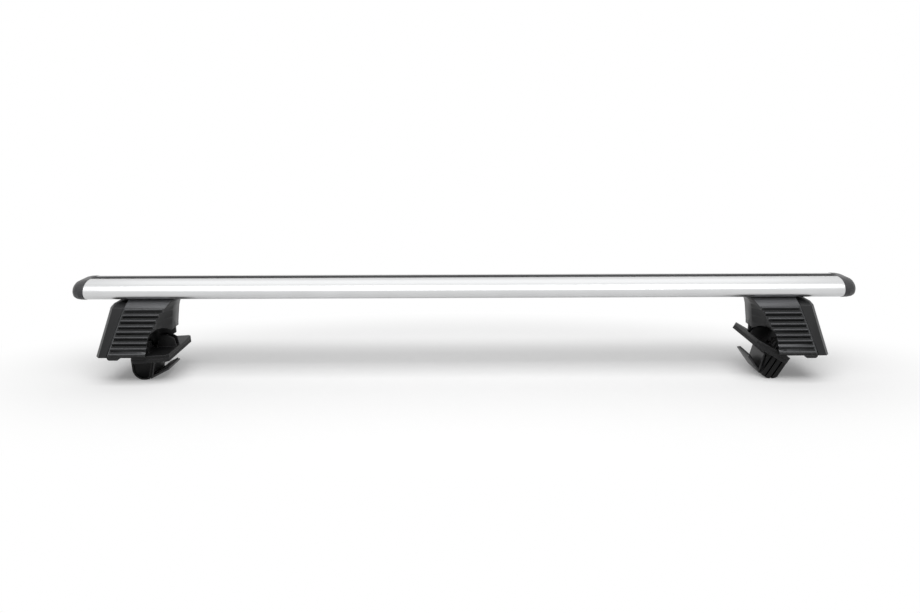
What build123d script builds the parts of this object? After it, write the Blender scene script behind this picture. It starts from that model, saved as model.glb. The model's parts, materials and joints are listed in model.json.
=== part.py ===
from build123d import *
import os
from math import cos, radians, sin, sqrt

# Bar sizes in millimetres
BAR_LENGTH = 1176.0
CAP_LENGTH = 21.0
BAR_DEPTH = 80.0
BAR_HEIGHT = 28.0
BAR_WALL = 2.2
BAR_UNDERSIDE = 127.0
SLOT_OPENING = 10.0
SLOT_CHANNEL = 20.8
SLOT_LIP = 2.6
SLOT_DEPTH = 6.6
STRIP_WIDTH = 11.0
STRIP_PROUD = 1.0
CAP_GROW = 0.4

# Foot sizes
FOOT_SPAN = 986.0
FOOT_SHIFT = 3.0
SADDLE_THICK = 1.5
PANEL_BOTTOM = 45.5
FOOT_TOP_DEPTH = 54.0
FOOT_SHOULDER_DEPTH = 76.0
FOOT_BASE_DEPTH = 124.0
SHELL_WALL = 3.0
TOP_BLOCK = 10.0
ARM_WIDTH = 30.0
RIB_COUNT = 9
RIB_PROUD = 4.5
WEB_THICK = 4.0
SCREW_DIAMETER = 8.0

# Cover and lock sizes
COVER_WALL = 2.6
COVER_GAP = 0.4
HINGE_OUT = 32.0
HINGE_PIN = 5.0
TAB_RADIUS = 4.0
TAB_WIDTH = 9.0
TAB_CLOSED = 2.5
LOCK_DIAMETER = 15.0
LOCK_HEIGHT = 93.0

# Clamp base, jaw and hook sizes
PIN_OUT = -12.0
PIN_DIAMETER = 6.0
TILT_MID = 16.6
TILT_SPLIT = 13.2
HEEL_RADIUS = 18.0
HEEL_REACH = 35.0
PAD_WIDTH = 58.0
PAD_LENGTH = 112.0
EAR_HEIGHT = 6.3
CARRIER_THICK = 5.0
RUBBER_THICK = 5.5
JAW_LENGTH = 56.0
JAW_RIB = 5.0
HUMP_OUT = 5.5
HOOK_THICK = 3.0
LIP_REACH = 28.0
LIP_RISE = 15.0
LINER_THICK = 2.0
BOLT_DIAMETER = 8.0
RUNNING_FIT = 0.08
SLIDE_FIT = 0.3

# Heights and positions that follow from the sizes above
PROFILE_END = BAR_LENGTH / 2 - CAP_LENGTH
BAR_CENTRE = BAR_UNDERSIDE + BAR_HEIGHT / 2
FOOT_TOP = BAR_UNDERSIDE - SADDLE_THICK
PIN_HEIGHT = HEEL_RADIUS + HEEL_REACH * cos(radians(TILT_SPLIT))
LEFT_TILT = TILT_MID - TILT_SPLIT
RIGHT_TILT = TILT_MID + TILT_SPLIT
LEFT_FOOT = -(FOOT_SPAN / 2 + FOOT_SHIFT)
RIGHT_FOOT = FOOT_SPAN / 2 - FOOT_SHIFT
CARRIER_TOP = -EAR_HEIGHT
CARRIER_BOTTOM = CARRIER_TOP - CARRIER_THICK
PAD_BOTTOM = CARRIER_BOTTOM - RUBBER_THICK
PAD_OUTER = 16.8
PAD_INNER = PAD_OUTER - PAD_WIDTH
JAW_TOP = PAD_BOTTOM - SLIDE_FIT
BOLT_OUT = 9.0
FOOT_RISE = FOOT_TOP - PANEL_BOTTOM

# Cap dome: fraction of the cap's length, then share of the section left there
CAP_DOME = [(0.0, 1.0), (0.35, 0.985), (0.63, 0.925), (0.82, 0.82), (0.94, 0.68), (1.0, 0.5)]

# Foot outline: fraction of the height above the panel's lower edge, then distance outward
OUTER_LINE = [(0.0, 54.5), (0.88, 35.5), (0.94, 32.0), (1.0, 22.0)]
SPLIT_LINE = [(0.0, 36.5), (0.3, 29.5), (0.64, 19.5), (0.88, 12.5), (1.0, 9.5)]
PANEL_LINE = [(0.0, -24.5), (0.12, -25.5), (0.3, -27.5), (0.47, -31.0), (0.64, -37.0), (0.79, -43.5),
              (0.88, -48.5), (1.0, -56.0)]
ARM_LINE = [(0.0, -46.5), (0.47, -49.0), (0.79, -52.5), (0.88, -54.5), (0.94, -57.5), (1.0, -62.0)]
DEPTH_LINE = [(0.0, FOOT_BASE_DEPTH / 2), (0.88, FOOT_SHOULDER_DEPTH / 2), (1.0, FOOT_TOP_DEPTH / 2)]
LEVELS = [0.0, 0.12, 0.3, 0.47, 0.64, 0.79, 0.88, 0.94, 1.0]


def along(line, level):
    """Read a foot outline at a level between 0 and 1; levels outside run on in a straight line."""
    for (t0, v0), (t1, v1) in zip(line, line[1:]):
        if level <= t1 or t1 == line[-1][0]:
            return v0 + (v1 - v0) * (level - t0) / (t1 - t0)


def height(level):
    """Height above the floor of a foot level."""
    return PANEL_BOTTOM + FOOT_RISE * level


def level_of(z):
    """Foot level of a height above the floor."""
    return (z - PANEL_BOTTOM) / FOOT_RISE


def flat(points):
    """Face inside a closed run of points."""
    return make_face(Polyline(*points, close=True))


def prism_y(points, y0, y1):
    """Solid between two depths from (x, z) points."""
    solid = extrude(Plane.XZ * flat(points), amount=y1 - y0, dir=(0, 1, 0))
    return Pos(0, y0, 0) * solid


def block(x0, x1, y0, y1, z0, z1):
    """Box between two corners."""
    return Pos((x0 + x1) / 2, (y0 + y1) / 2, (z0 + z1) / 2) * Box(x1 - x0, y1 - y0, z1 - z0)


def rod_y(x, z, radius, y0, y1):
    """Cylinder along the depth of the bar."""
    return Pos(x, (y0 + y1) / 2, z) * Rot(90, 0, 0) * Cylinder(radius, y1 - y0)


def rod_z(x, y, radius, z0, z1):
    """Upright cylinder."""
    return Pos(x, y, (z0 + z1) / 2) * Cylinder(radius, z1 - z0)


def hex_z(x, y, across, z0, z1):
    """Upright hexagonal prism."""
    return extrude(Pos(x, y, z0) * RegularPolygon(across / 2, 6, major_radius=False), amount=z1 - z0)


def pair_y(make, y0, y1):
    """The same feature at the front and at the back."""
    return make(-y1, -y0) + make(y0, y1)


def tower(sections):
    """Solid through plan outlines given as (height, points)."""
    faces = [Plane.XY.offset(z) * flat(points) for z, points in sections]
    return loft(faces, ruled=True)


def bar_outline(grow):
    """Aero section about the bar's centre, grown or shrunk evenly."""
    top = BAR_HEIGHT / 2 + grow
    nose_z, tail_z = -0.1 * BAR_HEIGHT, -0.27 * BAR_HEIGHT
    crown, sole = 0.16 * BAR_DEPTH, 0.3 * BAR_DEPTH
    reach = BAR_DEPTH / 2 + grow
    edges = [
        Line((crown, top), (-crown, top)),
        EllipticalCenterArc((-crown, nose_z), reach - crown, top - nose_z, start_angle=90, arc_size=90),
        EllipticalCenterArc((-sole, nose_z), reach - sole, top + nose_z, start_angle=180, arc_size=90),
        Line((-sole, -top), (sole, -top)),
        EllipticalCenterArc((sole, tail_z), reach - sole, top + tail_z, start_angle=270, arc_size=90),
        EllipticalCenterArc((crown, tail_z), reach - crown, top - tail_z, start_angle=0, arc_size=90),
    ]
    return make_face(edges)


def rect(y0, y1, z0, z1):
    """Rectangle in the plane of the bar's section."""
    return Pos((y0 + y1) / 2, (z0 + z1) / 2) * Rectangle(y1 - y0, z1 - z0)


def along_bar(face, x0, x1):
    """Run a section along the bar between two stations."""
    return Pos(x0, 0, BAR_CENTRE) * extrude(Plane.YZ * face, amount=x1 - x0)


def chambers(clear):
    """Front and rear hollows of the section, less a clearance."""
    web = SLOT_CHANNEL / 2 + BAR_WALL + clear
    inside = bar_outline(-BAR_WALL - clear)
    front = rect(-BAR_DEPTH, -web, -BAR_HEIGHT, BAR_HEIGHT)
    rear = rect(web, BAR_DEPTH, -BAR_HEIGHT, BAR_HEIGHT)
    return inside & (front + rear)


def make_profile():
    """Hollow extrusion with a T-slot above and one below."""
    top, half = BAR_HEIGHT / 2, SLOT_CHANNEL / 2
    neck = SLOT_OPENING / 2
    roof = top - SLOT_LIP
    face = bar_outline(0) - chambers(0)
    face -= rect(-neck, neck, roof - 1, top + 1) + rect(-half, half, roof - SLOT_DEPTH, roof)
    face -= rect(-neck, neck, -top - 1, -roof + 1) + rect(-half, half, -roof, -roof + SLOT_DEPTH)
    spare = roof - SLOT_DEPTH - BAR_WALL
    face -= rect(-half, half, -spare, spare)
    return along_bar(face, -PROFILE_END, PROFILE_END)


def make_strip():
    """Rubber strip: crown above the bar, neck through the slot and bead inside it."""
    top = BAR_HEIGHT / 2
    roof = top - SLOT_LIP
    neck = SLOT_OPENING / 2 - 0.2
    bead = SLOT_CHANNEL / 2 - 1.2
    crown = STRIP_WIDTH / 2
    proud = top + STRIP_PROUD
    face = flat([(-crown, top), (crown, top), (crown - 1, proud), (-crown + 1, proud)])
    face += rect(-neck, neck, roof - 1, top)
    face += rect(-bead, bead, roof - 0.6 * SLOT_DEPTH, roof)
    return along_bar(face, -PROFILE_END, PROFILE_END)


def make_cap():
    """Right end cap: domed outer end and two plugs inside the hollows."""
    sections = []
    for part, share in CAP_DOME:
        nose = Pos(-0.08 * BAR_DEPTH * (1 - share), -0.1 * BAR_HEIGHT * (1 - share))
        face = nose * scale(bar_outline(CAP_GROW), by=share)
        sections.append(Pos(PROFILE_END + part * CAP_LENGTH, 0, BAR_CENTRE) * (Plane.YZ * face))
    plugs = along_bar(chambers(0.15), PROFILE_END - 0.75 * CAP_LENGTH, PROFILE_END + 1)
    return loft(sections, ruled=True) + plugs


def foot_plan(level, inset, open_out):
    """Plan outline of the foot body at a level."""
    out = along(SPLIT_LINE, level) + open_out
    panel = along(PANEL_LINE, level) + inset
    arm = along(ARM_LINE, level) + inset
    deep = along(DEPTH_LINE, level) - inset
    half = ARM_WIDTH / 2 - inset
    return [(out, -deep), (panel, -deep), (arm, -half), (arm, half), (panel, deep), (out, deep)]


def make_louvres():
    """Stack of louvres standing off the front and back panels."""
    solid = None
    pitch = 0.89 / RIB_COUNT
    for index in range(RIB_COUNT):
        low = 0.01 + index * pitch
        high = low + 0.66 * pitch
        x0 = along(PANEL_LINE, high) + 2.0
        x1 = along(SPLIT_LINE, high) - 2.0
        z0, z1 = height(low), height(high)
        d0, d1 = along(DEPTH_LINE, low), along(DEPTH_LINE, high)
        side = [(d1 - 1.5, z0), (d0 + 0.3, z0), (d1 + RIB_PROUD, z1), (d1 - 1.5, z1)]
        rib = Pos(x0, 0, 0) * extrude(Plane.YZ * flat(side), amount=x1 - x0)
        rib += mirror(rib, Plane.XZ)
        solid = rib if solid is None else solid + rib
    return solid


def hinge_height():
    """Height of the cover's hinge line."""
    return PANEL_BOTTOM


def make_foot_body():
    """Hollow foot moulding with louvres, arm, arch, web, pivot lugs and hinge tabs."""
    outside = tower([(height(t), foot_plan(t, 0, 0)) for t in LEVELS])
    roof = level_of(FOOT_TOP - TOP_BLOCK)
    inner_levels = [-0.15] + [t for t in LEVELS if t < roof - 0.02] + [roof]
    inside = tower([(height(t), foot_plan(t, SHELL_WALL, 25)) for t in inner_levels])
    body = outside + make_louvres() - inside
    body -= prism_y(arch_outline(), -FOOT_BASE_DEPTH, FOOT_BASE_DEPTH)
    body += prism_y(web_outline(), -WEB_THICK / 2, WEB_THICK / 2)
    body += make_lugs(outside)
    edge = FOOT_BASE_DEPTH / 2
    body += pair_y(make_tab, edge - TAB_WIDTH, edge)
    body += strike()
    body -= rod_y(PIN_OUT, PIN_HEIGHT, PIN_DIAMETER / 2 + 0.03, -FOOT_BASE_DEPTH / 2, FOOT_BASE_DEPTH / 2)
    closed = edge - TAB_CLOSED
    body -= rod_y(HINGE_OUT, hinge_height(), HINGE_PIN / 2 + 0.03, -closed, closed)
    for x in screw_stations():
        body -= rod_z(x, 0, SCREW_DIAMETER / 2 + 0.3, FOOT_TOP - 2 * TOP_BLOCK, FOOT_TOP + 1)
    return body


def arch_outline():
    """Opening under the arm through which the pad swings."""
    low, far = PANEL_BOTTOM - 20, -80
    edge = [(along(PANEL_LINE, t) + SHELL_WALL + 0.5, height(t)) for t in (0.0, 0.12, 0.3, 0.42)]
    crown = [(-35.5, height(0.48)), (-40, height(0.48)), (-44, height(0.44)), (-47, height(0.39))]
    return [(edge[0][0], low)] + edge + crown + [(far, height(0.37)), (far, low)]


def web_outline():
    """Stiffening web down the middle of the foot, above the swing of the pad."""
    swing = sin(radians(RIGHT_TILT)) / cos(radians(RIGHT_TILT))
    inner, outer = along(ARM_LINE, 0.6) + 1, PIN_OUT - 11
    clear = PIN_HEIGHT + CARRIER_TOP / cos(radians(RIGHT_TILT)) + 2
    low = [(inner, clear + swing * (PIN_OUT - inner)), (outer, clear + swing * (PIN_OUT - outer))]
    roof = FOOT_TOP - TOP_BLOCK
    heads = roof - 2 * SCREW_DIAMETER
    first, second = screw_stations()
    left, right = first + SCREW_DIAMETER + 1, second - SCREW_DIAMETER - 1
    neck = [(right, heads), (right, roof + 1), (left, roof + 1), (left, heads)]
    return low + [(outer, heads - 12)] + neck + [(inner, heads)]


def make_lugs(outside):
    """Two lugs that hold the pivot pins, carried up to the side walls."""
    wide = EAR_HEIGHT - 0.4
    y0, y1 = lug_faces()
    base = max(PIN_HEIGHT, PANEL_BOTTOM)
    high = height(0.86)
    x0, x1 = PIN_OUT - wide, PIN_OUT + wide
    upper = pair_y(lambda a, b: block(x0, x1, a, b, base, high), y0, y1) & outside
    lower = pair_y(lambda a, b: block(x0, x1, a, b, PIN_HEIGHT, base + 1), y0, y1)
    return upper + lower + pair_y(lambda a, b: rod_y(PIN_OUT, PIN_HEIGHT, wide, a, b), y0, y1)


def make_tab(y0, y1):
    """Tab under the panel that takes the end of a cover pin."""
    axis_z = hinge_height()
    tab = block(HINGE_OUT - 3 * TAB_RADIUS, HINGE_OUT, y0, y1, axis_z - TAB_RADIUS, axis_z + TAB_RADIUS)
    return tab + rod_y(HINGE_OUT, axis_z, TAB_RADIUS, y0, y1)


def lug_faces():
    """Inner and outer faces of the pivot lugs."""
    inner = 0.37 * PAD_LENGTH
    return inner, inner + 6.0


def screw_stations():
    """Where the two bar screws stand."""
    return [-40.0, -8.0]


def strike():
    """Bracket behind which the lock's cam turns."""
    top = FOOT_TOP - 6.5
    dx, dz = lock_axis()
    x, z = lock_point(-11.5)
    tip = (x - 9.5 * dz, z + 9.5 * dx)
    root = (x - 24 * dz, z + 24 * dx)
    points = [(8, top), (root[0] + 2, top), (tip[0] + 1, tip[1]), (tip[0] - 1, tip[1] - 0.5)]
    points += [(root[0] - 1, top - 3), (8, top - 3)]
    return prism_y(points, -8, 8)


def lock_axis():
    """Direction square to the cover's outer wall."""
    dx = along(OUTER_LINE, 0.88) - along(OUTER_LINE, 0)
    dz = height(0.88) - height(0)
    size = sqrt(dx * dx + dz * dz)
    return dz / size, -dx / size


def lock_point(depth):
    """Point on the lock's axis, outward from the cover's face."""
    dx, dz = lock_axis()
    return along(OUTER_LINE, level_of(LOCK_HEIGHT)) + depth * dx, LOCK_HEIGHT + depth * dz


def on_lock(depth):
    """Plane across the lock's axis at a depth from the cover's face."""
    dx, dz = lock_axis()
    x, z = lock_point(depth)
    return Plane(origin=(x, 0, z), x_dir=(0, 1, 0), z_dir=(dx, 0, dz))


def cover_plan(level, inset, overlap):
    """Plan outline of the cover at a level."""
    split = along(SPLIT_LINE, level) + COVER_GAP - overlap
    out = along(OUTER_LINE, level) - inset
    deep = along(DEPTH_LINE, level) + 0.5 - inset
    soft = min(6.0, 0.6 * (along(OUTER_LINE, level) - along(SPLIT_LINE, level)))
    front = [(split, -deep), (out - soft, -deep), (out, -deep + 8)]
    return front + [(x, -y) for x, y in reversed(front)]


def make_cover():
    """Outer cover with hinge arms and a boss for the lock."""
    axis_z = hinge_height()
    levels = [0.0, 0.3, 0.64, 0.88, 0.94, 1.0]
    outside = tower([(height(t), cover_plan(t, 0, 0)) for t in levels])
    levels = [-0.1, 0.3, 0.64, 0.88, 0.93]
    inside = tower([(height(t), cover_plan(t, COVER_WALL, 9)) for t in levels])
    cover = outside - inside
    swing = FOOT_TOP - 0.6 - axis_z
    cover = cover & rod_y(HINGE_OUT, axis_z, swing, -FOOT_BASE_DEPTH, FOOT_BASE_DEPTH)
    wall = along(OUTER_LINE, 0.05) - 1
    arm = [(HINGE_OUT, axis_z - TAB_RADIUS), (wall, axis_z + 0.7)]
    arm += [(wall - 1.5, axis_z + 9), (HINGE_OUT, axis_z + TAB_RADIUS)]
    edge = FOOT_BASE_DEPTH / 2 - TAB_WIDTH - SLIDE_FIT
    cover += pair_y(lambda a, b: prism_y(arm, a, b), edge - 6, edge)
    cover += pair_y(lambda a, b: rod_y(HINGE_OUT, axis_z, TAB_RADIUS, a, b), edge - 6, edge)
    cover -= rod_y(HINGE_OUT, axis_z, HINGE_PIN / 2 + RUNNING_FIT, -FOOT_BASE_DEPTH, FOOT_BASE_DEPTH)
    cover += extrude(on_lock(-8) * Circle(LOCK_DIAMETER / 2 + 3), amount=7)
    cover -= extrude(on_lock(-20) * Circle(LOCK_DIAMETER / 2 + RUNNING_FIT), amount=40)
    return cover


def make_lock():
    """Lock barrel with a key slot, and its cam."""
    barrel = extrude(on_lock(-13) * Circle(LOCK_DIAMETER / 2), amount=14)
    barrel -= extrude(on_lock(-1) * Rectangle(2, 9), amount=3)
    stem = extrude(on_lock(-16.5) * Rectangle(5, 5), amount=3.5)
    cam = extrude(on_lock(-16) * (Pos(3.5, 0) * Rectangle(17, 8)), amount=3)
    cam -= extrude(on_lock(-17) * Rectangle(5.1, 5.1), amount=5)
    return barrel + stem, cam


def make_bar_fixings():
    """Saddle pad, slot plate, two screws and two washers."""
    outline = [(x * 0.96 - 1, y * 0.94) for x, y in foot_plan(1.0, 0, 0)]
    pad = extrude(Pos(0, 0, FOOT_TOP) * flat(outline), amount=SADDLE_THICK)
    lips = BAR_UNDERSIDE + SLOT_LIP
    half = SLOT_CHANNEL / 2 - SLIDE_FIT
    plate = block(-50, 2, -half, half, lips, lips + SLOT_DEPTH - 1)
    under = FOOT_TOP - TOP_BLOCK
    screws, washers = None, None
    for x in screw_stations():
        pad -= rod_z(x, 0, SCREW_DIAMETER / 2 + 0.3, FOOT_TOP - 1, BAR_UNDERSIDE + 1)
        plate -= rod_z(x, 0, SCREW_DIAMETER / 2 + 0.03, BAR_UNDERSIDE, lips + SLOT_DEPTH)
        washer = rod_z(x, 0, 8.5, under - 1.6, under)
        washer -= rod_z(x, 0, SCREW_DIAMETER / 2 + 0.2, under - 3, under + 1)
        screw = rod_z(x, 0, SCREW_DIAMETER / 2, under - 2, lips + SLOT_DEPTH - 1)
        screw += rod_z(x, 0, 0.8 * SCREW_DIAMETER, under - 1.6 - SCREW_DIAMETER, under - 1.6)
        screw -= hex_z(x, 0, 0.75 * SCREW_DIAMETER, under - 2.6 - SCREW_DIAMETER, under - 5)
        screws = screw if screws is None else screws + screw
        washers = washer if washers is None else washers + washer
    return pad, plate, screws, washers


def make_carrier():
    """Pad carrier: plate, outer tongue, pivot ears and two humped ribs, about the pivot line."""
    half = PAD_LENGTH / 2
    lug0 = lug_faces()[0]
    plate = block(PAD_INNER, PAD_OUTER, -half, half, CARRIER_BOTTOM, CARRIER_TOP)
    plate = chamfer(plate.edges().filter_by(Axis.Z), 4)
    plate += block(PAD_OUTER - 2, BOLT_OUT + 12, -13, 13, CARRIER_BOTTOM, CARRIER_TOP)
    ear = 0.5 * PIN_DIAMETER + 3.5
    low = CARRIER_TOP - 1
    plate += pair_y(lambda a, b: block(-ear, ear, a, b, low, 0), lug0 - 10, lug0 - SLIDE_FIT)
    plate += pair_y(lambda a, b: rod_y(0, 0, ear, a, b), lug0 - 10, lug0 - SLIDE_FIT)
    hump = [(PAD_INNER + 3, low), (PAD_INNER + 5, 6), (-26, 13), (-14, 13), (-8, low)]
    plate += pair_y(lambda a, b: prism_y(hump, a, b), HUMP_OUT, HUMP_OUT + 2.5)
    plate -= pair_y(lambda a, b: rod_y(0, 0, PIN_DIAMETER / 2 + RUNNING_FIT, a, b), lug0 - 11, lug0)
    plate -= rod_z(BOLT_OUT, 0, BOLT_DIAMETER / 2 + 0.4, -20, 20)
    return plate


def make_rubber():
    """Rail pad: grooved rubber under the carrier."""
    half = PAD_LENGTH / 2
    pad = block(PAD_INNER, PAD_OUTER, -half, half, PAD_BOTTOM, CARRIER_BOTTOM)
    pad = chamfer(pad.edges().filter_by(Axis.Z), 4)
    pad -= block(BOLT_OUT - 8, PAD_OUTER + 5, -8, 8, PAD_BOTTOM - 1, CARRIER_BOTTOM + 1)
    for index in range(4):
        x = PAD_INNER + 8 + 8 * index
        pad -= block(x - 1.2, x + 1.2, -half - 1, half + 1, PAD_BOTTOM - 1, PAD_BOTTOM + 1.5)
    return pad


def hook_line():
    """Centre line of the bent hook: top of the leg, bend and lip tip."""
    drop = HEEL_REACH * cos(radians(TILT_MID)) + HEEL_RADIUS
    return [(-8, JAW_TOP - 4), (0, 2.6 - drop), (-LIP_REACH, LIP_RISE - drop)]


def offset_line(points, distance):
    """Shift a two-segment line sideways with a mitred bend."""
    (x0, z0), (x1, z1), (x2, z2) = points
    ax, az = x1 - x0, z1 - z0
    bx, bz = x2 - x1, z2 - z1
    la, lb = sqrt(ax * ax + az * az), sqrt(bx * bx + bz * bz)
    na, nb = (-az / la, ax / la), (-bz / lb, bx / lb)
    scale = distance / (1 + na[0] * nb[0] + na[1] * nb[1])
    bend = (x1 + (na[0] + nb[0]) * scale, z1 + (na[1] + nb[1]) * scale)
    start = (x0 + na[0] * distance, z0 + na[1] * distance)
    return [start, bend, (x2 + nb[0] * distance, z2 + nb[1] * distance)]


def jaw_section():
    """Section of the jaw moulding before the hook's seat is cut."""
    cx, cz = HEEL_REACH * sin(radians(TILT_MID)), -HEEL_REACH * cos(radians(TILT_MID))

    def on_heel(angle):
        return cx + HEEL_RADIUS * sin(radians(angle)), cz - HEEL_RADIUS * cos(radians(angle))

    sole = cz - HEEL_RADIUS
    heel = ThreePointArc(on_heel(58), on_heel(TILT_MID), on_heel(-8))
    toe = [on_heel(-8), (3.5, sole + 0.6)]
    top = [(-12, JAW_TOP - 3), (-12, JAW_TOP), (27.5, JAW_TOP), (27.5, cz - 4), on_heel(58)]
    return make_face([heel] + list(Polyline(*toe, *top).edges()))


def make_jaw(rib_side):
    """Jaw moulding with four ribs on one end, a bolt passage and a nut pocket."""
    half = JAW_LENGTH / 2
    seat = offset_line(hook_line(), HOOK_THICK / 2)
    mouth = [(-60, seat[0][1] + 0.01), (seat[0][0], seat[0][1] + 0.01), seat[1], seat[2], (-60, seat[2][1])]
    cut = prism_y(mouth, -JAW_LENGTH, JAW_LENGTH)
    solid = extrude(Plane.XZ * jaw_section(), amount=JAW_LENGTH, dir=(0, 1, 0))
    jaw = Pos(0, -half, 0) * solid - cut
    ribs = extrude(Plane.XZ * jaw_section(), amount=JAW_RIB, dir=(0, 1, 0))
    ribs = Pos(0, half if rib_side > 0 else -half - JAW_RIB, 0) * ribs - cut
    bars = None
    for x in (23, 14, 5, -4):
        bar = block(x - 3.2, x + 3.2, -JAW_LENGTH, JAW_LENGTH, -60, JAW_TOP - 1)
        bars = bar if bars is None else bars + bar
    jaw += ribs & bars
    floor = nut_top()
    jaw -= rod_z(BOLT_OUT, 0, BOLT_DIAMETER / 2 + 0.4, -60, 10)
    jaw -= hex_z(BOLT_OUT, 0, 1.65 * BOLT_DIAMETER, -60, floor)
    return jaw


def nut_top():
    """Height of the clamp nut's bearing face."""
    return JAW_TOP - 12


def make_hook():
    """Bent steel hook and the rubber facing on its lip."""
    half = JAW_LENGTH / 2 - 2
    line = hook_line()
    under, over = offset_line(line, HOOK_THICK / 2), offset_line(line, -HOOK_THICK / 2)
    hook = prism_y(under + over[::-1], -half, half)
    cover = offset_line(line, -HOOK_THICK / 2 - LINER_THICK)
    a, b, c, d = over[1], over[2], cover[2], cover[1]

    def mix(p, q, t):
        return p[0] + (q[0] - p[0]) * t, p[1] + (q[1] - p[1]) * t

    facing = [mix(a, b, 0.35), mix(a, b, 0.97), mix(d, c, 0.97), mix(d, c, 0.35)]
    liner = prism_y(facing, -half + 2, half - 2)
    return hook, liner


def make_clamp_fixings():
    """Clamp bolt, washer and nut, about the pivot line."""
    r = BOLT_DIAMETER / 2
    seat = CARRIER_TOP + 1.6
    end = nut_top() - 0.8 * BOLT_DIAMETER - 8.4
    washer = rod_z(BOLT_OUT, 0, 8.5, CARRIER_TOP, seat)
    washer -= rod_z(BOLT_OUT, 0, r + RUNNING_FIT, CARRIER_TOP - 1, seat + 1)
    head = seat + RUNNING_FIT
    bolt = rod_z(BOLT_OUT, 0, r, end, head + 1) + rod_z(BOLT_OUT, 0, 1.6 * r, head, head + BOLT_DIAMETER)
    bolt -= hex_z(BOLT_OUT, 0, 0.75 * BOLT_DIAMETER, head + 0.45 * BOLT_DIAMETER, head + 2 * BOLT_DIAMETER)
    nut = hex_z(BOLT_OUT, 0, 1.6 * BOLT_DIAMETER, nut_top() - 0.8 * BOLT_DIAMETER, nut_top())
    nut -= rod_z(BOLT_OUT, 0, r + RUNNING_FIT, -80, 10)
    return bolt, washer, nut


def pivot_pin(y0, y1):
    """Pin on which the clamp base tilts."""
    return rod_y(PIN_OUT, PIN_HEIGHT, PIN_DIAMETER / 2, y0, y1)


def cover_pin(y0, y1):
    """Pin on which the cover swings."""
    return rod_y(HINGE_OUT, hinge_height(), HINGE_PIN / 2, y0, y1)


def make_foot(tilt, rib_side):
    """All pieces of one foot as a right-hand foot about its own datum."""
    pad, plate, screws, washers = make_bar_fixings()
    barrel, cam = make_lock()
    edge = FOOT_BASE_DEPTH / 2
    lug0, lug1 = lug_faces()
    pieces = {
        "foot_body": make_foot_body(),
        "saddle_pad": pad,
        "slot_plate": plate,
        "bar_screws": screws,
        "bar_washers": washers,
        "pivot_pins": pair_y(pivot_pin, lug0 - 9.5, lug1),
        "cover_pins": pair_y(cover_pin, edge - TAB_WIDTH - 6, edge - TAB_CLOSED),
        "foot_cover": make_cover(),
        "lock_barrel": barrel,
        "lock_cam": cam,
    }
    bolt, washer, nut = make_clamp_fixings()
    hook, liner = make_hook()
    clamp = {
        "pad_carrier": make_carrier(),
        "rubber_pad": make_rubber(),
        "clamp_washer": washer,
        "clamp_bolt": bolt,
        "clamp_nut": nut,
        "jaw": make_jaw(rib_side),
        "hook_plate": hook,
        "lip_liner": liner,
    }
    for name, solid in clamp.items():
        pieces[name] = Pos(PIN_OUT, 0, PIN_HEIGHT) * Rot(0, tilt, 0) * solid
    return pieces


def main():
    """Build every piece and write one file for each."""
    os.makedirs("parts", exist_ok=True)
    cap = make_cap()
    nodes = {
        "crossbar_profile": make_profile(),
        "top_strip": make_strip(),
        "end_cap_right": cap,
        "end_cap_left": mirror(cap, Plane.YZ),
    }
    for name, solid in make_foot(RIGHT_TILT, -1).items():
        nodes["right_" + name] = Pos(RIGHT_FOOT, 0, 0) * solid
    for name, solid in make_foot(LEFT_TILT, 1).items():
        nodes["left_" + name] = Pos(LEFT_FOOT, 0, 0) * mirror(solid, Plane.YZ)
    for name, solid in nodes.items():
        export_step(solid, "parts/" + name + ".step")


main()
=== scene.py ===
import json
import logging
import math
from collections.abc import Callable
from dataclasses import dataclass
from enum import Enum

import bmesh
import bpy
from mathutils import Euler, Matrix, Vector


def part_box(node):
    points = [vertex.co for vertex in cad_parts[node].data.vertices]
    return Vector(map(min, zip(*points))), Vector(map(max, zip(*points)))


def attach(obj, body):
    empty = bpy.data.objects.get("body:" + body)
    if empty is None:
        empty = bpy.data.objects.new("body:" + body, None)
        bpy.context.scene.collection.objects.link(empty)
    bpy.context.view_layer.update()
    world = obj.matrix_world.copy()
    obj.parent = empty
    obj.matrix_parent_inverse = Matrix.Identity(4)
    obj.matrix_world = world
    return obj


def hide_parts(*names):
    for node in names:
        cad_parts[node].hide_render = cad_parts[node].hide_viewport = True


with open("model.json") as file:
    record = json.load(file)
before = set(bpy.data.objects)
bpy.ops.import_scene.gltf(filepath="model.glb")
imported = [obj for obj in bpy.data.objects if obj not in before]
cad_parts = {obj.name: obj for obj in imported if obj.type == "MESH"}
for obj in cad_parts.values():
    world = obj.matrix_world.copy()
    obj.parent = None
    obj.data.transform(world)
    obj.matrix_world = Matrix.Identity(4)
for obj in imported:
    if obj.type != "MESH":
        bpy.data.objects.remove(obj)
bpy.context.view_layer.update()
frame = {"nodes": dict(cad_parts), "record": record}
LOG = logging.getLogger("crossbar")

# Lengths, angles and counts that several pieces use
MM = 0.001
MERGE_GAP = 0.001 * MM
FLAT_ANGLE = math.radians(1)
SMOOTH_ANGLE = math.radians(32)
SQUARE_ON = 0.99
PLAIN_CORNER = 3
ROUND_STEPS = 2
EDGE_SHARE = 0.1

# How far each clamp base hangs outward at rest
REST_TILT = {"left": math.radians(3.4), "right": math.radians(29.8)}


class Grain(Enum):
    """Surface pattern that a finish carries."""

    EXTRUDED = "fine lines along the bar"
    MOULDED = "spark-eroded mould texture"
    RUBBER = "soft matt skin"
    PLATED = "tumbled plating"
    COATED = "powder coat"


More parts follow.
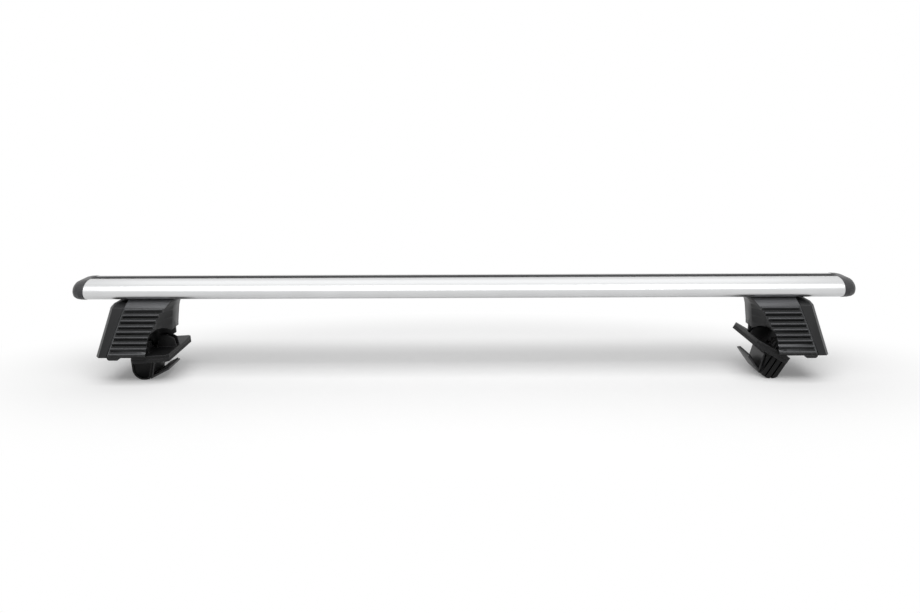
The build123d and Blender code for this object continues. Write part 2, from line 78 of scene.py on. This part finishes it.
class Side(Enum):
    """The two ends of the crossbar."""

    LEFT = "left"
    RIGHT = "right"

    def node(self, piece: str) -> str:
        """Name of this side's node or body."""
        return f"{self.value}_{piece}"

    def outward(self) -> int:
        """Sign of the way out along the bar."""
        return -1 if self is Side.LEFT else 1

    def tilt(self) -> float:
        """How far the clamp base hangs outward at rest."""
        return REST_TILT[self.value]

    def across(self) -> Vector:
        """Direction outward along the tilted clamp base."""
        return Vector((self.outward() * math.cos(self.tilt()), 0, -math.sin(self.tilt())))

    def pivot(self) -> Vector:
        """Where the clamp base turns in its foot."""
        rows = frame["record"]["behaviour"]["joints"]
        return next(Vector(row["pos_m"]) for row in rows if row["name"] == self.node("base_tilt"))


class Graph:
    """Shorthand for wiring one node tree."""

    def __init__(self, tree: bpy.types.NodeTree) -> None:
        """Empty the tree and keep it."""
        self.tree = tree
        self.tree.nodes.clear()

    def add(self, kind: str, **settings: object) -> bpy.types.Node:
        """Add a node and set its plain attributes.

        Args:
            kind: node type without the ShaderNode prefix.
            settings: attributes to set on the node.

        Returns:
            The new node.
        """
        node = self.tree.nodes.new("ShaderNode" + kind)
        for key, value in settings.items():
            setattr(node, key, value)
        return node

    def join(self, start: bpy.types.NodeSocket, end: bpy.types.NodeSocket) -> None:
        """Link an output to an input."""
        self.tree.links.new(start, end)


@dataclass(frozen=True)
class Finish:
    """One finish of the product, as a procedural material."""

    name: str
    colour: tuple[float, float, float]
    roughness: float
    grain: Grain
    metallic: float = 0.0
    sheen: float = 0.5
    rough_spread: float = 0.07
    grain_size: float = 0.7 * MM
    grain_depth: float = 0.03 * MM
    grain_detail: float = 3.0
    grain_strength: float = 0.6
    line_stretch: float = 0.004
    mottle: float = 0.12
    patch_size: float = 45 * MM
    patch_detail: float = 4.0
    patch_stops: tuple[float, float] = (0.3, 0.7)
    edge_radius: float = 0.6 * MM
    # Lightening along the edges: a painted highlight where the edges catch the lamps
    edge_light: float = 1.5
    edge_samples: int = 4
    edge_span: tuple[float, float] = (1.0, 0.8)
    # Lightening of the faces that look up, set by the height of their normal: painted light from
    # above
    light_lift: float = 1.0
    top_light_stops: tuple[tuple[float, float], ...] = ((0.05, 0.0), (0.36, 0.05), (0.7, 1.0))

    def stretch(self) -> tuple[float, float, float]:
        """Scale of the grain along each axis."""
        return (self.line_stretch if self.grain is Grain.EXTRUDED else 1.0, 1.0, 1.0)

    def tint(self, factor: float) -> tuple[float, float, float, float]:
        """The finish's colour, lighter or darker."""
        return (*(min(1.0, channel * factor) for channel in self.colour), 1.0)

    def noise(self, graph: Graph, place: bpy.types.NodeSocket, size: float,
              detail: float) -> bpy.types.NodeSocket:
        """Add a noise of a given grain size.

        Args:
            graph: the material under way.
            place: coordinates to read.
            size: size of a grain in metres.
            detail: number of finer layers.

        Returns:
            The socket that carries the noise.
        """
        node = graph.add("TexNoise")
        node.inputs["Scale"].default_value = 1.0 / size
        node.inputs["Detail"].default_value = detail
        graph.join(place, node.inputs["Vector"])
        return node.outputs["Fac"]

    def edges(self, graph: Graph) -> tuple[bpy.types.NodeSocket, bpy.types.NodeSocket]:
        """Add softened normals and the mask of the edges they soften, which carries a painted
        highlight.

        Args:
            graph: the material under way.

        Returns:
            The sockets that carry the softened normal and the mask.
        """
        soft = graph.add("Bevel", samples=self.edge_samples)
        soft.inputs["Radius"].default_value = self.edge_radius
        true = graph.add("NewGeometry")
        dot = graph.add("VectorMath", operation="DOT_PRODUCT")
        graph.join(soft.outputs["Normal"], dot.inputs[0])
        graph.join(true.outputs["Normal"], dot.inputs[1])
        mask = graph.add("MapRange")
        for name, value in zip(("From Min", "From Max"), self.edge_span):
            mask.inputs[name].default_value = value
        graph.join(dot.outputs["Value"], mask.inputs["Value"])
        return soft.outputs["Normal"], mask.outputs["Result"]

    def painted_top_light(self, graph: Graph) -> bpy.types.NodeSocket:
        """Add a mask of the faces that look up, where the colour is lightened as painted light
        from above.

        Args:
            graph: the material under way.

        Returns:
            The socket that carries the mask.
        """
        true = graph.add("NewGeometry")
        split = graph.add("SeparateXYZ")
        graph.join(true.outputs["Normal"], split.inputs["Vector"])
        mask = graph.add("ValToRGB")
        stops = mask.color_ramp.elements
        first, middle, last = self.top_light_stops
        for element, (place, level) in ((stops[0], first), (stops[1], last)):
            element.position, element.color = place, (level, level, level, 1.0)
        place, level = middle
        stops.new(place).color = (level, level, level, 1.0)
        graph.join(split.outputs["Z"], mask.inputs["Fac"])
        return mask.outputs["Color"]

    def paint(self, graph: Graph, place: bpy.types.NodeSocket,
              edge_highlight: bpy.types.NodeSocket) -> bpy.types.NodeSocket:
        """Add the colour, mottled, with painted light on the faces that look up and a painted
        highlight along its edges.

        Args:
            graph: the material under way.
            place: coordinates to read.
            edge_highlight: mask of the edges.

        Returns:
            The socket that carries the colour.
        """
        mottled = graph.add("ValToRGB")
        factors = (1.0 - self.mottle, 1.0 + self.mottle)
        for element, stop, factor in zip(mottled.color_ramp.elements, self.patch_stops, factors):
            element.position, element.color = stop, self.tint(factor)
        patches = self.noise(graph, place, self.patch_size, self.patch_detail)
        graph.join(patches, mottled.inputs["Fac"])
        colour = mottled.outputs["Color"]
        for share, factor in ((self.painted_top_light(graph), self.light_lift), (edge_highlight, self.edge_light)):
            layer = graph.add("MixRGB", blend_type="MIX")
            layer.inputs["Color2"].default_value = self.tint(factor)
            graph.join(share, layer.inputs["Fac"])
            graph.join(colour, layer.inputs["Color1"])
            colour = layer.outputs["Color"]
        return colour

    def relief(self, graph: Graph, place: bpy.types.NodeSocket,
               normal: bpy.types.NodeSocket) -> tuple[bpy.types.NodeSocket, bpy.types.NodeSocket]:
        """Add the grain, in roughness and in bump.

        Args:
            graph: the material under way.
            place: coordinates to read, stretched along the grain.
            normal: softened normal to start from.

        Returns:
            The sockets that carry the roughness and the bumped normal.
        """
        grain = self.noise(graph, place, self.grain_size, self.grain_detail)
        rough = graph.add("MapRange")
        rough.inputs["To Min"].default_value = self.roughness - self.rough_spread
        rough.inputs["To Max"].default_value = self.roughness + self.rough_spread
        graph.join(grain, rough.inputs["Value"])
        bump = graph.add("Bump")
        bump.inputs["Strength"].default_value = self.grain_strength
        bump.inputs["Distance"].default_value = self.grain_depth
        graph.join(grain, bump.inputs["Height"])
        graph.join(normal, bump.inputs["Normal"])
        return rough.outputs["Result"], bump.outputs["Normal"]

    def material(self) -> bpy.types.Material:
        """Build the material.

        Returns:
            A material with colour, roughness and bump from its nodes.
        """
        material = bpy.data.materials.new(self.name)
        material.use_nodes = True
        graph = Graph(material.node_tree)
        place = graph.add("TexCoord").outputs["Object"]
        mapping = graph.add("Mapping")
        mapping.inputs["Scale"].default_value = self.stretch()
        graph.join(place, mapping.inputs["Vector"])
        soft, edge_highlight = self.edges(graph)
        colour = self.paint(graph, place, edge_highlight)
        rough, normal = self.relief(graph, mapping.outputs["Vector"], soft)
        shader = graph.add("BsdfPrincipled")
        shader.inputs["Metallic"].default_value = self.metallic
        shader.inputs["Specular IOR Level"].default_value = self.sheen
        graph.join(colour, shader.inputs["Base Color"])
        graph.join(rough, shader.inputs["Roughness"])
        graph.join(normal, shader.inputs["Normal"])
        output = graph.add("OutputMaterial")
        graph.join(shader.outputs["BSDF"], output.inputs["Surface"])
        return material


# Where a finish's edge lightening goes above one, it is a painted highlight along its edges
ALUMINIUM = Finish(
    "satin_anodised", (0.62, 0.624, 0.628), 0.3, Grain.EXTRUDED, metallic=1.0,
    grain_size=0.35 * MM, grain_depth=0.004 * MM, mottle=0.03, edge_light=1.15)
STRIP_RUBBER = Finish(
    "strip_rubber", (0.016, 0.016, 0.017), 0.68, Grain.RUBBER, grain_size=0.4 * MM)
CAP_PLASTIC = Finish(
    "cap_plastic", (0.03, 0.03, 0.032), 0.42, Grain.MOULDED, edge_light=1.6, sheen=0.4)
# The foot's lightened edges and twelvefold lighter upward faces, such as the shoulder, are
# painted highlights
FOOT_PLASTIC = Finish(
    "foot_plastic", (0.01, 0.0102, 0.0107), 0.36, Grain.MOULDED, edge_light=10.0,
    edge_radius=0.9 * MM, sheen=0.26, light_lift=12.0)
COVER_PLASTIC = Finish(
    "cover_plastic", (0.012, 0.0123, 0.013), 0.38, Grain.MOULDED, edge_light=3.0, sheen=0.3)
# A black moulding, made darker still as painted shade on the carrier's top, which lies in shadow
# under the foot; its strong edge lightening is a painted highlight
CARRIER_PLASTIC_PAINTED_SHADE = Finish(
    "carrier_plastic", (0.006, 0.006, 0.0063), 0.5, Grain.MOULDED, edge_light=14.0,
    edge_radius=1.2 * MM, sheen=0.2)
JAW_PLASTIC = Finish(
    "jaw_plastic", (0.007, 0.007, 0.0073), 0.48, Grain.MOULDED, edge_light=5.0, sheen=0.18)
PAD_RUBBER = Finish(
    "pad_rubber", (0.011, 0.011, 0.0115), 0.7, Grain.RUBBER, grain_size=0.5 * MM,
    edge_light=6.0, edge_radius=1.0 * MM, sheen=0.22)
HOOK_STEEL = Finish(
    "hook_steel", (0.02, 0.02, 0.021), 0.4, Grain.COATED, grain_size=0.9 * MM,
    edge_light=2.5, sheen=0.4)
ZINC_STEEL = Finish(
    "zinc_steel", (0.56, 0.56, 0.55), 0.32, Grain.PLATED, metallic=1.0,
    grain_size=0.5 * MM, mottle=0.08, edge_light=1.2)
LOCK_METAL = Finish(
    "lock_metal", (0.34, 0.34, 0.345), 0.34, Grain.PLATED, metallic=1.0,
    grain_size=0.5 * MM, mottle=0.05, edge_light=1.2)

MATERIALS = {finish.name: finish.material() for finish in (
    ALUMINIUM, STRIP_RUBBER, CAP_PLASTIC, FOOT_PLASTIC, COVER_PLASTIC, CARRIER_PLASTIC_PAINTED_SHADE,
    JAW_PLASTIC, PAD_RUBBER, HOOK_STEEL, ZINC_STEEL, LOCK_METAL)}


def wear(obj: bpy.types.Object, finish: Finish) -> None:
    """Give an object one finish all over."""
    obj.data.materials.clear()
    obj.data.materials.append(MATERIALS[finish.name])


def dress_node(node: str, finish: Finish) -> None:
    """Give a carried-over node its finish."""
    wear(frame["nodes"][node], finish)
    LOG.info("dressed %s in %s", node, finish.name)


def take_up(obj: bpy.types.Object) -> None:
    """Make an object the only one selected, and active.

    Args:
        obj: the object to work on.
    """
    bpy.ops.object.select_all(action="DESELECT")
    obj.select_set(True)
    bpy.context.view_layer.objects.active = obj


def add_block(centre: Vector, size: Vector) -> bpy.types.Object:
    """Add a box at its size and place, and open it for editing.

    Args:
        centre: middle of the box.
        size: its length along each axis.

    Returns:
        The box, in edit mode.
    """
    bpy.ops.object.select_all(action="DESELECT")
    bpy.ops.mesh.primitive_cube_add(size=1.0)
    obj = bpy.context.object
    obj.scale = size
    obj.location = centre
    bpy.ops.object.transform_apply(location=True, rotation=True, scale=True)
    bpy.ops.object.mode_set(mode="EDIT")
    return obj


def cut(place: Vector, normal: Vector, **keep: bool) -> None:
    """Bisect the whole mesh under way by a plane."""
    bpy.ops.mesh.select_all(action="SELECT")
    bpy.ops.mesh.bisect(plane_co=place, plane_no=normal, **keep)


def pick_faces(obj: bpy.types.Object, rule: Callable[[bmesh.types.BMFace], bool]) -> None:
    """Select just the faces that a rule picks.

    Args:
        obj: the object, in edit mode.
        rule: test of one face.
    """
    bpy.ops.mesh.select_mode(type="FACE")
    bpy.ops.mesh.select_all(action="DESELECT")
    mesh = bmesh.from_edit_mesh(obj.data)
    for face in mesh.faces:
        face.select_set(rule(face))
    bmesh.update_edit_mesh(obj.data)


def push(way: tuple[float, float, float]) -> None:
    """Extrude the picked faces along a vector."""
    bpy.ops.mesh.extrude_region_move(TRANSFORM_OT_translate={"value": way})


def soften_block(thick: float) -> None:
    """Round every edge of the block under way a little, and leave edit mode.

    Args:
        thick: thickness of the block, which sets the rounding.
    """
    bpy.ops.mesh.select_all(action="SELECT")
    bpy.ops.mesh.bevel(offset=EDGE_SHARE * thick, segments=ROUND_STEPS, affect="EDGES")
    bpy.ops.mesh.normals_make_consistent(inside=False)
    bpy.ops.object.mode_set(mode="OBJECT")


def finish_piece(obj: bpy.types.Object, name: str, body: str,
                 finish: Finish) -> bpy.types.Object:
    """Name a finished piece, dress it and set it on its body.

    Args:
        obj: the piece.
        name: name of the piece.
        body: body that carries it.
        finish: finish to wear.

    Returns:
        The same object, at the origin with its place in its mesh.
    """
    take_up(obj)
    bpy.ops.object.transform_apply(location=True, rotation=True, scale=True)
    bpy.ops.object.shade_smooth_by_angle(angle=SMOOTH_ANGLE)
    obj.name = name
    wear(obj, finish)
    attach(obj, body)
    LOG.info("made %s on %s", name, body)
    return obj


@dataclass
class Moulding:
    """A node's own shape with its long edges rounded."""

    node: str
    body: str
    slot: str
    finish: Finish
    radius: float = 0.6 * MM
    shortest: float = 4 * MM
    longest: float = 200 * MM
    sharp_from: float = math.radians(30)
    room: float = 3.0

    def has_room(self, edge: bmesh.types.BMEdge) -> bool:
        """Whether an edge is outward, sharp and of a fair length, with room to round it.

        Args:
            edge: an edge of the copy.

        Returns:
            True for an edge that takes a bevel without folding its neighbours.
        """
        if not edge.is_manifold or not edge.is_convex:
            return False
        fair = self.shortest < edge.calc_length() < self.longest
        near = [other for vert in edge.verts for other in vert.link_edges if other is not edge]
        plain = all(len(vert.link_edges) == PLAIN_CORNER for vert in edge.verts)
        wide = all(other.calc_length() > self.room * self.radius for other in near)
        return fair and plain and wide and edge.calc_face_angle(0) > self.sharp_from

    def copy_node(self) -> bpy.types.Object:
        """Copy the node's mesh into a new object and merge it.

        Returns:
            The copy, in edit mode.
        """
        data = frame["nodes"][self.node].data.copy()
        obj = bpy.data.objects.new(self.node + "_moulded", data)
        bpy.context.scene.collection.objects.link(obj)
        take_up(obj)
        bpy.ops.object.mode_set(mode="EDIT")
        bpy.ops.mesh.select_all(action="SELECT")
        bpy.ops.mesh.remove_doubles(threshold=MERGE_GAP)
        bpy.ops.mesh.dissolve_limited(angle_limit=FLAT_ANGLE)
        return obj

    def round_edges(self, obj: bpy.types.Object) -> None:
        """Bevel every edge of the copy that has room for it.

        Args:
            obj: the copy, in edit mode.
        """
        bpy.ops.mesh.select_mode(type="EDGE")
        bpy.ops.mesh.select_all(action="DESELECT")
        mesh = bmesh.from_edit_mesh(obj.data)
        for edge in mesh.edges:
            edge.select_set(self.has_room(edge))
        bmesh.update_edit_mesh(obj.data)
        bpy.ops.mesh.bevel(offset=self.radius, segments=ROUND_STEPS, affect="EDGES",
                           clamp_overlap=False)

    def build(self) -> bpy.types.Object:
        """Make the rounded copy and let it stand for the node.

        Returns:
            The finished piece.
        """
        obj = self.copy_node()
        self.round_edges(obj)
        bpy.ops.object.mode_set(mode="OBJECT")
        finish_piece(obj, self.node + "_moulded", self.body, self.finish)
        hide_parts(self.node)
        return obj


@dataclass
class FootShell(Moulding):
    """A foot body whose front and back panels are closed over the pivot pins."""

    side: Side = Side.LEFT
    longest: float = 66 * MM
    bore: float = 3.2 * MM
    behind: float = 50 * MM

    def in_bore(self, place: Vector) -> bool:
        """Whether a point lies on the wall of a panel's bore."""
        away = place - self.side.pivot()
        return math.hypot(away.x, away.z) < self.bore and abs(place.y) > self.behind

    def copy_node(self) -> bpy.types.Object:
        """Copy the node's mesh and close the bores in its panels.

        Returns:
            The copy, in edit mode.
        """
        obj = super().copy_node()
        pick_faces(obj, lambda face: all(self.in_bore(vert.co) for vert in face.verts))
        bpy.ops.mesh.delete(type="FACE")
        bpy.ops.mesh.select_mode(type="EDGE")
        bpy.ops.mesh.select_all(action="SELECT")
        bpy.ops.mesh.fill_holes(sides=0)
        bpy.ops.mesh.select_all(action="SELECT")
        bpy.ops.mesh.normals_make_consistent(inside=False)
        return obj


@dataclass
class JawShell(Moulding):
    """A jaw whose plain end is cored out behind its thin toe."""

    side: Side = Side.LEFT
    toe: float = -6 * MM
    rim: float = 2.6 * MM
    depth: float = 5 * MM

    def copy_node(self) -> bpy.types.Object:
        """Copy the node's mesh and sink a recess into its plain end.

        Returns:
            The copy, in edit mode.
        """
        obj = super().copy_node()
        out, across = self.side.outward(), self.side.across()
        cut(self.side.pivot() + self.toe * across, across)
        mesh = bmesh.from_edit_mesh(obj.data)
        facing = [face for face in mesh.faces if out * face.normal.y > SQUARE_ON]
        largest = max(face.calc_area() for face in facing)
        pick_faces(obj, lambda face: (out * face.normal.y > SQUARE_ON
                                      and face.calc_area() == largest))
        bpy.ops.mesh.inset(thickness=self.rim)
        push((0, -out * self.depth, 0))
        return obj


@dataclass
class Crossbar:
    """Extruded bar, its tread strip and its end caps."""

    crown_half: float = 5.5 * MM
    groove_count: int = 3
    groove_width: float = 1.2 * MM
    groove_depth: float = 0.5 * MM
    groove_stop: float = 3 * MM
    cap_radius: float = 0.5 * MM

    def in_groove(self, face: bmesh.types.BMFace, grooves: list[float], reach: float) -> bool:
        """Whether a face of the crown lies where a groove goes.

        Args:
            face: a face of the strip.
            grooves: where the grooves run across the strip.
            reach: how far they run from the middle.

        Returns:
            True for a face that a groove takes in.
        """
        middle = face.calc_center_median()
        near = any(abs(middle.y - groove) < self.groove_width / 2 for groove in grooves)
        return face.normal.z > SQUARE_ON and near and abs(middle.x) < reach

    def build_strip(self) -> bpy.types.Object:
        """Model the tread strip with grooves along its crown.

        Returns:
            The finished strip.
        """
        low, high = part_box("top_strip")
        _, bar_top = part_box("crossbar_profile")
        size = Vector((high.x - low.x, 2 * self.crown_half, high.z - bar_top.z))
        centre = Vector(((low.x + high.x) / 2, 0, (bar_top.z + high.z) / 2))
        obj = add_block(centre, size)
        pitch = size.y / (self.groove_count + 1)
        grooves = [pitch * (index + 1) - self.crown_half for index in range(self.groove_count)]
        for groove in grooves:
            for edge in (groove - self.groove_width / 2, groove + self.groove_width / 2):
                cut(Vector((0, edge, 0)), Vector((0, 1, 0)))
        reach = high.x - self.groove_stop
        for stop in (-reach, reach):
            cut(Vector((stop, 0, 0)), Vector((1, 0, 0)))
        pick_faces(obj, lambda face: self.in_groove(face, grooves, reach))
        push((0, 0, -self.groove_depth))
        bpy.ops.object.mode_set(mode="OBJECT")
        finish_piece(obj, "tread_strip", "bar", STRIP_RUBBER)
        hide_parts("top_strip")
        return obj

    def build(self) -> None:
        """Dress the bar and make its strip and caps."""
        dress_node("crossbar_profile", ALUMINIUM)
        self.build_strip()
        for side in Side:
            Moulding(f"end_cap_{side.value}", "bar", "cap_plastic", CAP_PLASTIC,
                     self.cap_radius).build()


@dataclass
class Foot:
    """Foot moulding, cover and lock of one end, with places taken from the clamp's pivot."""

    side: Side
    body_radius: float = 0.8 * MM
    cover_radius: float = 0.8 * MM
    web_thick: float = 3 * MM
    web_inner: float = -12 * MM
    web_step: float = -0.5 * MM
    web_outer: float = 16 * MM
    web_low: float = -2.5 * MM
    web_slope: float = math.radians(24)
    web_ledge: float = 5.2 * MM
    web_top: float = 47 * MM
    wall_place: float = 30 * MM
    wall_thick: float = 2.5 * MM
    wall_half: float = 60.3 * MM
    wall_half_top: float = 53.5 * MM
    wall_low: float = -8 * MM
    wall_top: float = 12 * MM

    def build_web(self) -> bpy.types.Object:
        """Model the thin web that closes the hollow above the bolt.

        Returns:
            The finished web.
        """
        pivot, out = self.side.pivot(), self.side.outward()
        across = out * (self.web_step + self.web_inner) / 2
        centre = pivot + Vector((across, 0, (self.web_top + self.web_low) / 2))
        size = (self.web_step - self.web_inner, self.web_thick, self.web_top - self.web_low)
        obj = add_block(centre, Vector(size))
        corner = pivot + Vector((out * self.web_step, 0, self.web_low))
        slope = Vector((out * math.sin(self.web_slope), 0, math.cos(self.web_slope)))
        cut(corner, slope, use_fill=True, clear_inner=True)
        ledge = pivot + Vector((0, 0, self.web_ledge))
        cut(ledge, Vector((0, 0, 1)))
        pick_faces(obj, lambda face: (out * face.normal.x > SQUARE_ON
                                      and face.calc_center_median().z > ledge.z))
        push((out * (self.web_outer - self.web_step), 0, 0))
        soften_block(self.web_thick)
        return finish_piece(obj, self.side.node("inner_web"), self.side.node("foot"),
                            FOOT_PLASTIC)

    def build_wall(self) -> bpy.types.Object:
        """Model the cross wall that closes the hollow behind the clamp base.

        Returns:
            The finished wall.
        """
        across = self.side.outward() * self.wall_place
        centre = self.side.pivot() + Vector((across, 0, (self.wall_top + self.wall_low) / 2))
        size = (self.wall_thick, 2 * self.wall_half, self.wall_top - self.wall_low)
        obj = add_block(centre, Vector(size))
        pick_faces(obj, lambda face: face.normal.z > SQUARE_ON)
        bpy.ops.transform.resize(value=(1, self.wall_half_top / self.wall_half, 1))
        soften_block(self.wall_thick)
        return finish_piece(obj, self.side.node("cross_wall"), self.side.node("foot"),
                            FOOT_PLASTIC)

    def build(self) -> None:
        """Round and dress the mouldings, and dress what they hold."""
        FootShell(self.side.node("foot_body"), self.side.node("foot"), "foot_plastic",
                  FOOT_PLASTIC, self.body_radius, side=self.side).build()
        Moulding(self.side.node("foot_cover"), self.side.node("cover"), "cover_plastic",
                 COVER_PLASTIC, self.cover_radius).build()
        self.build_web()
        self.build_wall()
        dress_node(self.side.node("saddle_pad"), PAD_RUBBER)
        for name in ("slot_plate", "bar_screws", "bar_washers", "lock_cam"):
            dress_node(self.side.node(name), ZINC_STEEL)
        for name in ("pivot_pins", "cover_pins"):
            dress_node(self.side.node(name), HOOK_STEEL)
        dress_node(self.side.node("lock_barrel"), LOCK_METAL)


@dataclass
class Clamp:
    """Tilting pad, jaw and hook of one end, with places taken from the clamp's pivot."""

    side: Side
    radius: float = 0.6 * MM
    rib_place: float = 15.5 * MM
    rib_thick: float = 3 * MM
    rib_inner: float = -9 * MM
    rib_outer: float = 16 * MM
    rib_low: float = -7 * MM
    rib_top: float = 12 * MM
    rib_corner: float = 5 * MM

    def build_rib(self) -> bpy.types.Object:
        """Model the stiffening rib that stands on the base behind the bolt.

        Returns:
            The finished rib.
        """
        out = self.side.outward()
        across = out * (self.rib_outer + self.rib_inner) / 2
        centre = Vector((across, self.rib_place, (self.rib_top + self.rib_low) / 2))
        size = (self.rib_outer - self.rib_inner, self.rib_thick, self.rib_top - self.rib_low)
        obj = add_block(centre, Vector(size))
        for end in (self.rib_inner, self.rib_outer):
            way = math.copysign(1, end)
            corner = Vector((out * (end - way * self.rib_corner), 0, self.rib_top))
            cut(corner, Vector((out * way, 0, 1)), use_fill=True, clear_outer=True)
        soften_block(self.rib_thick)
        obj.rotation_euler = (0, out * self.side.tilt(), 0)
        obj.location = self.side.pivot()
        return finish_piece(obj, self.side.node("base_rib"), self.side.node("base"),
                            CARRIER_PLASTIC_PAINTED_SHADE)

    def build(self) -> None:
        """Round and dress the clamp's pieces."""
        base, jaw = self.side.node("base"), self.side.node("jaw")
        self.build_rib()
        Moulding(self.side.node("pad_carrier"), base, "carrier_plastic", CARRIER_PLASTIC_PAINTED_SHADE,
                 self.radius).build()
        Moulding(self.side.node("rubber_pad"), base, "pad_rubber", PAD_RUBBER,
                 self.radius).build()
        JawShell(self.side.node("jaw"), jaw, "jaw_plastic", JAW_PLASTIC, self.radius,
                 side=self.side).build()
        Moulding(self.side.node("hook_plate"), jaw, "hook_steel", HOOK_STEEL,
                 self.radius).build()
        dress_node(self.side.node("lip_liner"), PAD_RUBBER)
        for name in ("clamp_washer", "clamp_bolt", "clamp_nut"):
            dress_node(self.side.node(name), HOOK_STEEL)


@dataclass(frozen=True)
class Lamp:
    """A soft lamp, long along the bar, that looks at its middle."""

    name: str
    place: tuple[float, float, float]
    size: tuple[float, float]
    power: float
    aim: tuple[float, float, float] = (0.0, 0.0, 0.1)

    def hang(self) -> None:
        """Hang the lamp in the scene."""
        data = bpy.data.lights.new(self.name, "AREA")
        data.shape = "RECTANGLE"
        data.size, data.size_y = self.size
        data.energy = self.power
        lamp = bpy.data.objects.new(self.name, data)
        lamp.location = self.place
        look = Vector(self.aim) - lamp.location
        lamp.rotation_euler = look.to_track_quat("-Z", "Y").to_euler()
        bpy.context.scene.collection.objects.link(lamp)


LAMPS = (
    Lamp("key_lamp", (0.0, -1.35, 1.65), (2.2, 0.5), 22.0),
    Lamp("top_lamp", (0.0, -0.75, 2.1), (2.8, 1.0), 24.0),
    Lamp("rim_lamp", (0.0, 1.2, 1.9), (2.8, 1.6), 7.0),
)


@dataclass
class Studio:
    """Floor, lamps, world and camera."""

    photo_width: int = 920
    focal_pixels: float = 834.6
    sensor: float = 36.0
    camera_place: tuple[float, float, float] = (-6.1 * MM, -1250 * MM, 412.2 * MM)
    camera_pitch: float = math.radians(13.7)
    camera_roll: float = math.radians(-0.22)
    camera_near: float = 10 * MM
    floor_span: float = 12.0
    floor_colour: float = 0.99
    floor_glow: float = 0.2
    glow_shape: tuple[float, float, float] = (0.6, 1.3, 1.0)
    glow_start: float = 0.3
    glow_end: float = 0.52
    world_light: float = 0.15

    def seen(self, graph: Graph) -> bpy.types.NodeSocket:
        """One for camera, glossy and transmission rays, else nought.

        Args:
            graph: the material or world under way.

        Returns:
            The socket that carries the value.
        """
        path = graph.add("LightPath")
        total = path.outputs["Is Camera Ray"]
        for name in ("Is Glossy Ray", "Is Transmission Ray"):
            more = graph.add("Math", operation="MAXIMUM")
            graph.join(total, more.inputs[0])
            graph.join(path.outputs[name], more.inputs[1])
            total = more.outputs["Value"]
        return total

    def glow(self, graph: Graph) -> bpy.types.NodeSocket:
        """Share of plain white in the floor, all of it far from the object.

        Args:
            graph: the floor's material under way.

        Returns:
            The socket that carries the share.
        """
        coords = graph.add("TexCoord")
        narrow = graph.add("Mapping")
        narrow.inputs["Scale"].default_value = self.glow_shape
        graph.join(coords.outputs["Object"], narrow.inputs["Vector"])
        reach = graph.add("VectorMath", operation="LENGTH")
        graph.join(narrow.outputs["Vector"], reach.inputs[0])
        light_lift = graph.add("MapRange", interpolation_type="SMOOTHSTEP")
        light_lift.inputs["From Min"].default_value = self.glow_start
        light_lift.inputs["From Max"].default_value = self.glow_end
        light_lift.inputs["To Min"].default_value = self.floor_glow
        graph.join(reach.outputs["Value"], light_lift.inputs["Value"])
        share = graph.add("Math", operation="MULTIPLY")
        graph.join(light_lift.outputs["Result"], share.inputs[0])
        graph.join(self.seen(graph), share.inputs[1])
        return share.outputs["Value"]

    def build_floor(self) -> bpy.types.Object:
        """Lay a pale floor that keeps the shadows.

        Returns:
            The floor.
        """
        bpy.ops.object.select_all(action="DESELECT")
        bpy.ops.mesh.primitive_plane_add(size=self.floor_span)
        floor = bpy.context.object
        floor.name = "floor"
        material = bpy.data.materials.new("pale_floor")
        material.use_nodes = True
        graph = Graph(material.node_tree)
        shade = graph.add("BsdfDiffuse")
        shade.inputs["Color"].default_value = (self.floor_colour,) * 3 + (1.0,)
        white = graph.add("Emission")
        mix = graph.add("MixShader")
        graph.join(self.glow(graph), mix.inputs["Fac"])
        graph.join(shade.outputs["BSDF"], mix.inputs[1])
        graph.join(white.outputs["Emission"], mix.inputs[2])
        output = graph.add("OutputMaterial")
        graph.join(mix.outputs["Shader"], output.inputs["Surface"])
        floor.data.materials.append(material)
        return floor

    def build_world(self) -> None:
        """Light from all round, with a white background."""
        world = bpy.data.worlds.new("studio")
        bpy.context.scene.world = world
        world.use_nodes = True
        graph = Graph(world.node_tree)
        light = graph.add("Background")
        light.inputs["Strength"].default_value = self.world_light
        white = graph.add("Background")
        for node in (light, white):
            node.inputs["Color"].default_value = (1.0, 1.0, 1.0, 1.0)
        mix = graph.add("MixShader")
        graph.join(self.seen(graph), mix.inputs["Fac"])
        graph.join(light.outputs["Background"], mix.inputs[1])
        graph.join(white.outputs["Background"], mix.inputs[2])
        output = graph.add("OutputWorld")
        graph.join(mix.outputs["Shader"], output.inputs["Surface"])

    def build_camera(self) -> None:
        """Stand the camera where the photograph was taken."""
        data = bpy.data.cameras.new("camera")
        data.sensor_fit = "HORIZONTAL"
        data.sensor_width = self.sensor
        data.lens = self.focal_pixels * self.sensor / self.photo_width
        data.clip_start = self.camera_near
        camera = bpy.data.objects.new("camera", data)
        camera.location = self.camera_place
        turn = Euler((math.pi / 2 - self.camera_pitch, 0, 0)).to_matrix()
        roll = Euler((0, 0, self.camera_roll)).to_matrix()
        camera.rotation_euler = (turn @ roll).to_euler()
        bpy.context.scene.collection.objects.link(camera)
        bpy.context.scene.camera = camera

    def build(self) -> None:
        """Set up the whole studio."""
        bpy.context.scene.view_settings.view_transform = "Standard"
        self.build_floor()
        self.build_world()
        for lamp in LAMPS:
            lamp.hang()
        self.build_camera()


def main() -> None:
    """Build the crossbar piece by piece and light it."""
    logging.basicConfig(level=logging.INFO, format="%(name)s: %(message)s")
    Studio().build()
    Crossbar().build()
    for side in Side:
        Foot(side).build()
        Clamp(side).build()


if __name__ == "__main__":
    main()
